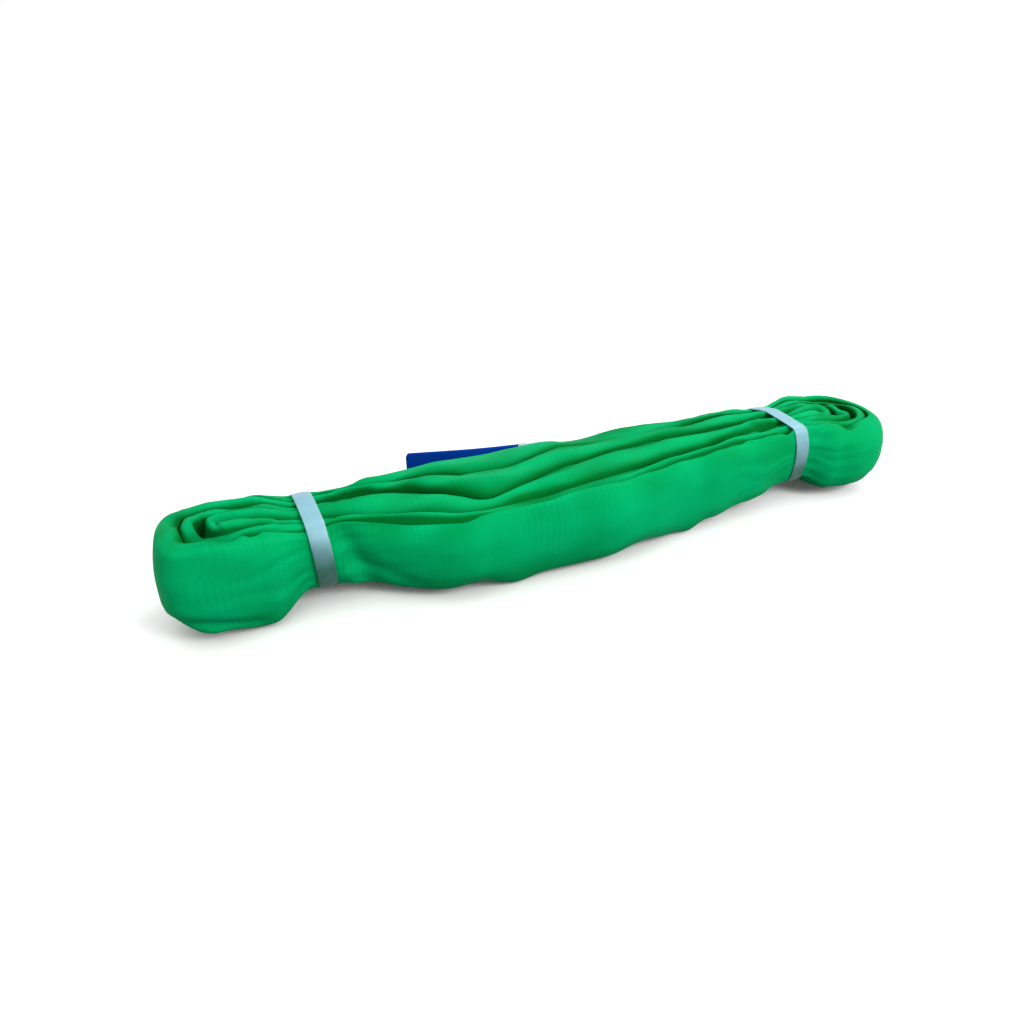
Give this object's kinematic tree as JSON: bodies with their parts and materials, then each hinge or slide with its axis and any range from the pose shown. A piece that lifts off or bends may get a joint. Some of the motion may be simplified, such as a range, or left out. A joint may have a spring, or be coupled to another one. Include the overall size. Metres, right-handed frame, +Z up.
{
  "type": "round sling",
  "caption": "Endless polyester round sling, rolled up on edge into a long bundle, squeezed by packing straps near its ends, with a loose identification tag behind.",
  "frame": {"origin": "on the resting face, at the middle of the bundle, midway between its front and back", "axes": "+X along the bundle towards its right end, +Y from its front face to its back, +Z up"},
  "size_m": [0.5114, 0.1196, 0.0645],
  "materials": {
    "sleeve_fabric": "matte",
    "core_yarn": "satin",
    "core_tape": "matte",
    "thread": "satin",
    "label_tab": "satin",
    "label_blue": "satin",
    "strap_film": "satin"
  },
  "bodies": {
    "sling": {"sleeve": "sleeve_fabric", "core_hank": "core_yarn", "core_end_tape": "core_tape", "sleeve_lap": "sleeve_fabric", "sleeve_lap_stitching": "thread", "label_tab_sewn_end": "label_tab", "left_strap": "strap_film", "right_strap": "strap_film"},
    "label": {"label_tab_flap": "label_tab", "label_tag": "label_blue", "label_tag_stitching": "thread"}
  },
  "joints": [
    {"name": "label_swing", "type": "hinge", "parent": "sling", "child": "label", "pos_m": [0.004, 0.0498, 0.026], "axis": [0, 0, -1], "range_deg": [-4, 120]}
  ]
}
